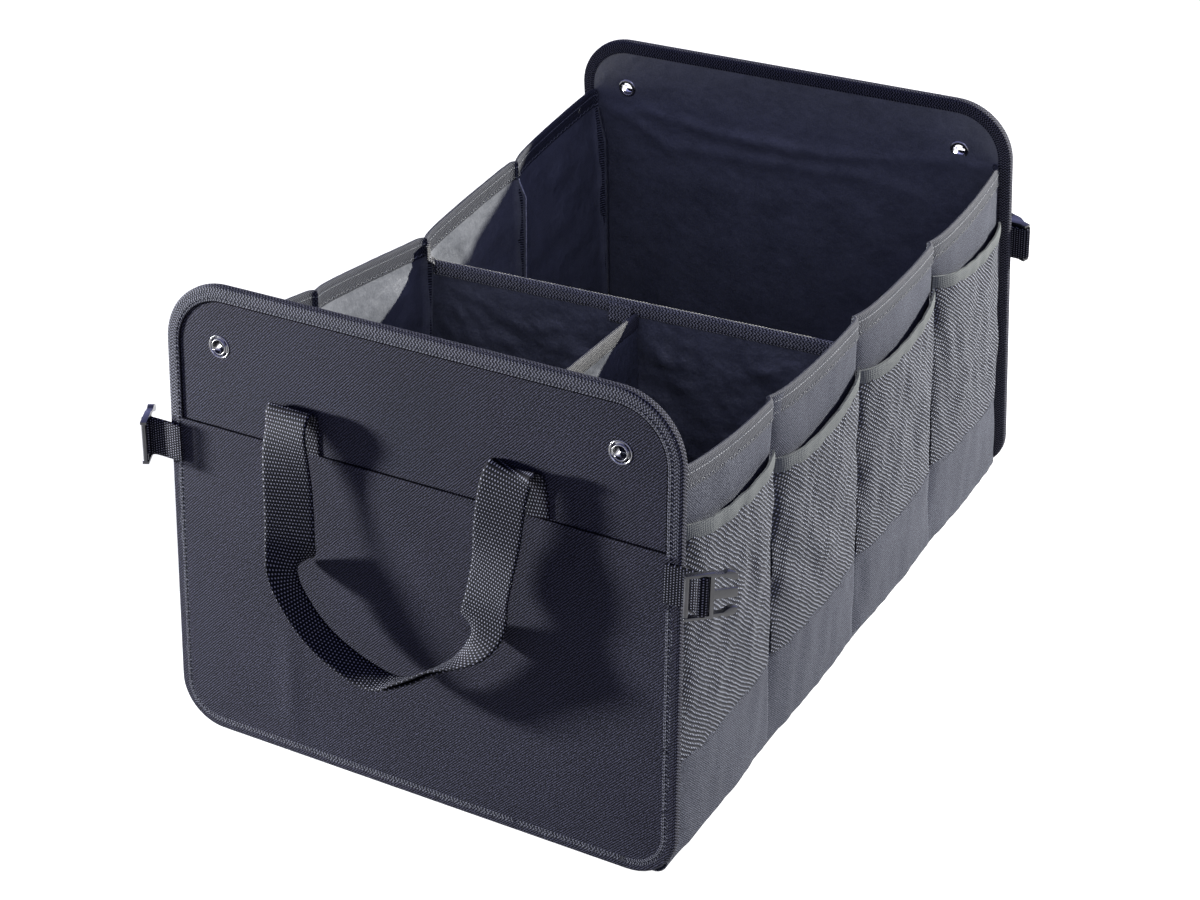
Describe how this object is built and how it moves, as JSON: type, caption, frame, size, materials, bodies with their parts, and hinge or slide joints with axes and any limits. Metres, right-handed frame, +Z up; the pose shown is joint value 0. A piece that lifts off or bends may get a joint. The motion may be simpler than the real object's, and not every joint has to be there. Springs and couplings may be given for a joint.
{
  "type": "car trunk organizer",
  "caption": "Collapsible open-top fabric organizer with stiff end panels, webbing handles, mesh side pockets, inner dividers and side-release buckle halves.",
  "frame": {"origin": "on the ground under the middle of the bag, in the flat underside of the floor cloth", "axes": "+Z up, +Y along the bag from the front end panel to the rear one, +X to the right seen from the front"},
  "size_m": [0.4197, 0.6363, 0.321],
  "materials": {
    "twill": "matt twill",
    "lining": "thin coated cloth with a low sheen",
    "webbing": "matt woven webbing",
    "tape": "matt ribbed tape",
    "mesh": "knitted mesh",
    "elastic": "woven elastic",
    "board": "hidden stiffening board",
    "metal": "bright rolled metal",
    "plastic": "satin moulded plastic"
  },
  "bodies": {
    "bag": {"cross_divider": "lining", "cross_divider_tab": "webbing", "cross_divider_tape": "tape", "floor_cloth": "twill", "front_board": "board", "front_edge_tape": "tape", "front_floor_board": "lining", "front_handle": "webbing", "front_left_eyelet": "metal", "front_left_eyelet_washer": "metal", "front_left_strap_tab": "webbing", "front_lining": "lining", "front_lower_cloth": "twill", "front_right_eyelet": "metal", "front_right_eyelet_washer": "metal", "front_right_strap_tab": "webbing", "front_upper_cloth": "twill", "left_pocket_hem_1": "elastic", "left_pocket_hem_2": "elastic", "left_pocket_hem_3": "elastic", "left_pocket_hem_4": "elastic", "left_pocket_mesh_1": "mesh", "left_pocket_mesh_2": "mesh", "left_pocket_mesh_3": "mesh", "left_pocket_mesh_4": "mesh", "left_rim_tape": "tape", "left_skirt": "twill", "left_wall_cloth": "twill", "left_wall_lining": "lining", "main_divider": "lining", "main_divider_tape": "tape", "rear_board": "board", "rear_edge_tape": "tape", "rear_floor_board": "lining", "rear_handle": "webbing", "rear_left_eyelet": "metal", "rear_left_eyelet_washer": "metal", "rear_left_strap_tab": "webbing", "rear_lining": "lining", "rear_lower_cloth": "twill", "rear_right_eyelet": "metal", "rear_right_eyelet_washer": "metal", "rear_right_strap_tab": "webbing", "rear_upper_cloth": "twill", "right_pocket_hem_1": "elastic", "right_pocket_hem_2": "elastic", "right_pocket_hem_3": "elastic", "right_pocket_hem_4": "elastic", "right_pocket_mesh_1": "mesh", "right_pocket_mesh_2": "mesh", "right_pocket_mesh_3": "mesh", "right_pocket_mesh_4": "mesh", "right_rim_tape": "tape", "right_skirt": "twill", "right_wall_cloth": "twill", "right_wall_lining": "lining"},
    "front_right_buckle_plug": {"front_right_buckle_plug": "plastic"},
    "front_left_buckle_plug": {"front_left_buckle_plug": "plastic"},
    "rear_left_buckle_socket": {"rear_left_buckle_socket": "plastic"},
    "rear_right_buckle_socket": {"rear_right_buckle_socket": "plastic"}
  },
  "joints": [
    {"name": "front_right_buckle_plug_swing", "type": "hinge", "parent": "bag", "child": "front_right_buckle_plug", "pos_m": [0.19596, -0.28727, 0.20829], "axis": [0, 0.0506, 0.9987], "range_deg": [-23, 43]},
    {"name": "front_left_buckle_plug_swing", "type": "hinge", "parent": "bag", "child": "front_left_buckle_plug", "pos_m": [-0.19596, -0.28727, 0.20829], "axis": [0, 0.0506, 0.9987], "range_deg": [-26, 40]},
    {"name": "rear_left_buckle_socket_swing", "type": "hinge", "parent": "bag", "child": "rear_left_buckle_socket", "pos_m": [-0.18946, 0.27098, 0.20768], "axis": [0, -0.1288, 0.9917], "range_deg": [0, 130]},
    {"name": "rear_right_buckle_socket_swing", "type": "hinge", "parent": "bag", "child": "rear_right_buckle_socket", "pos_m": [0.18946, 0.27098, 0.20768], "axis": [0, -0.1288, 0.9917], "range_deg": [-130, 0]}
  ]
}
